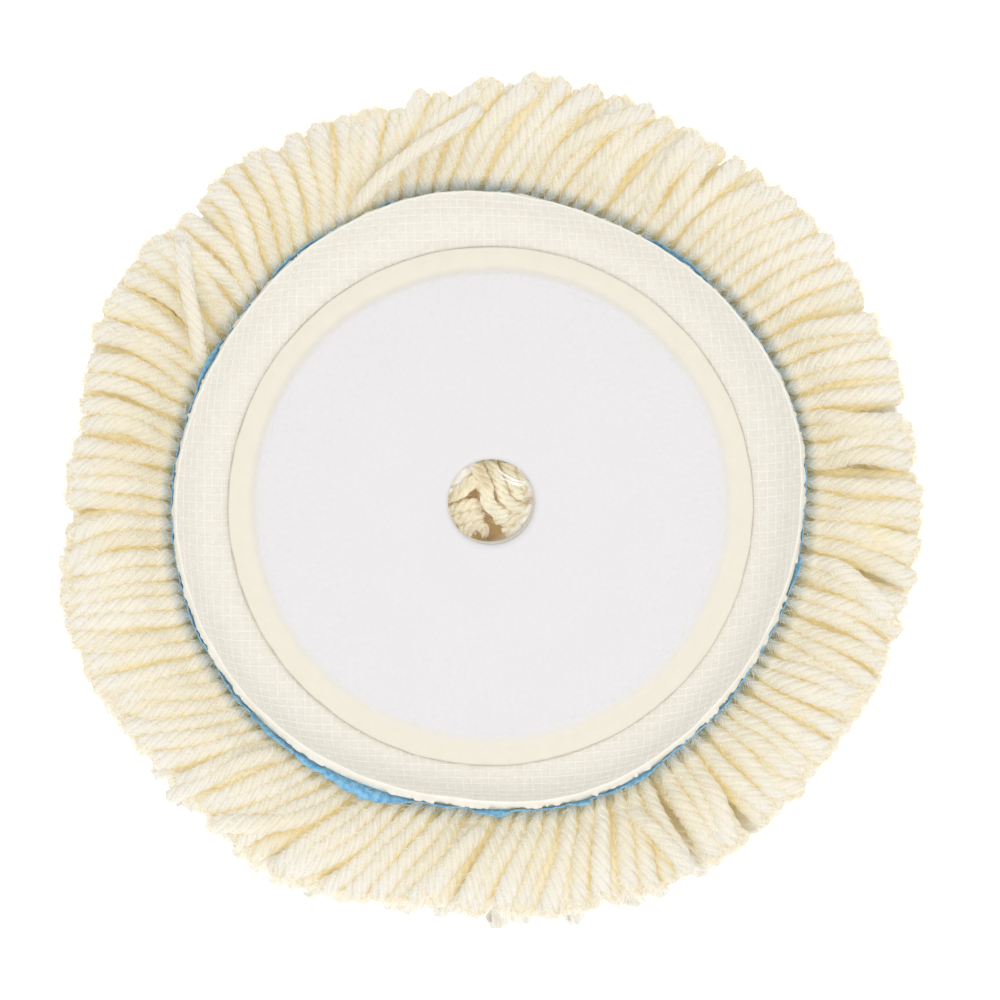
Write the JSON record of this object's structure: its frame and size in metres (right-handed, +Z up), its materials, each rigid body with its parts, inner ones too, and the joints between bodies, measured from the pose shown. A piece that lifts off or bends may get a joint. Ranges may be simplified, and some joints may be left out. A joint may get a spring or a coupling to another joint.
{
  "type": "polishing pad",
  "caption": "Round twisted-wool polishing pad with a dished hook-and-loop back, a centring hole and a full fringe of yarn.",
  "frame": {"origin": "centre of the pad in the plane of the surface that the wool lies on", "axes": "+Z up, out of the loop fabric's face and away from the wool; +X and +Y along the scrim's threads"},
  "size_m": [0.2054, 0.2054, 0.0388],
  "materials": {
    "loop_fabric": "brushed nap, cream where pressed at the edge",
    "hot_melt": "satin",
    "scrim": "open plain weave with a resin coat",
    "shell_foam": "satin cut edge",
    "lock_coat": "matt latex",
    "blue_cloth": "woven, frayed at the cut edge",
    "clear_film": "clear gloss",
    "wool": "twisted wool yarn"
  },
  "bodies": {
    "root": {"backing_cloth": "blue_cloth", "centre_film": "clear_film", "centre_tufts": "wool", "dish_shell": "shell_foam", "hot_melt_film": "hot_melt", "loop_fabric_disc": "loop_fabric", "scrim_mesh": "scrim", "tuft_lock_coat": "lock_coat", "tuft_ring_01": "wool", "tuft_ring_02": "wool", "tuft_ring_03": "wool", "tuft_ring_04": "wool", "tuft_ring_05": "wool", "tuft_ring_06": "wool", "tuft_ring_07": "wool", "tuft_ring_08": "wool", "tuft_ring_09": "wool", "tuft_ring_10": "wool", "tuft_ring_11": "wool", "tuft_ring_12": "wool", "tuft_ring_13": "wool", "tuft_ring_14": "wool", "tuft_ring_15": "wool", "tuft_ring_16": "wool", "tuft_ring_17": "wool"}
  },
  "joints": []
}
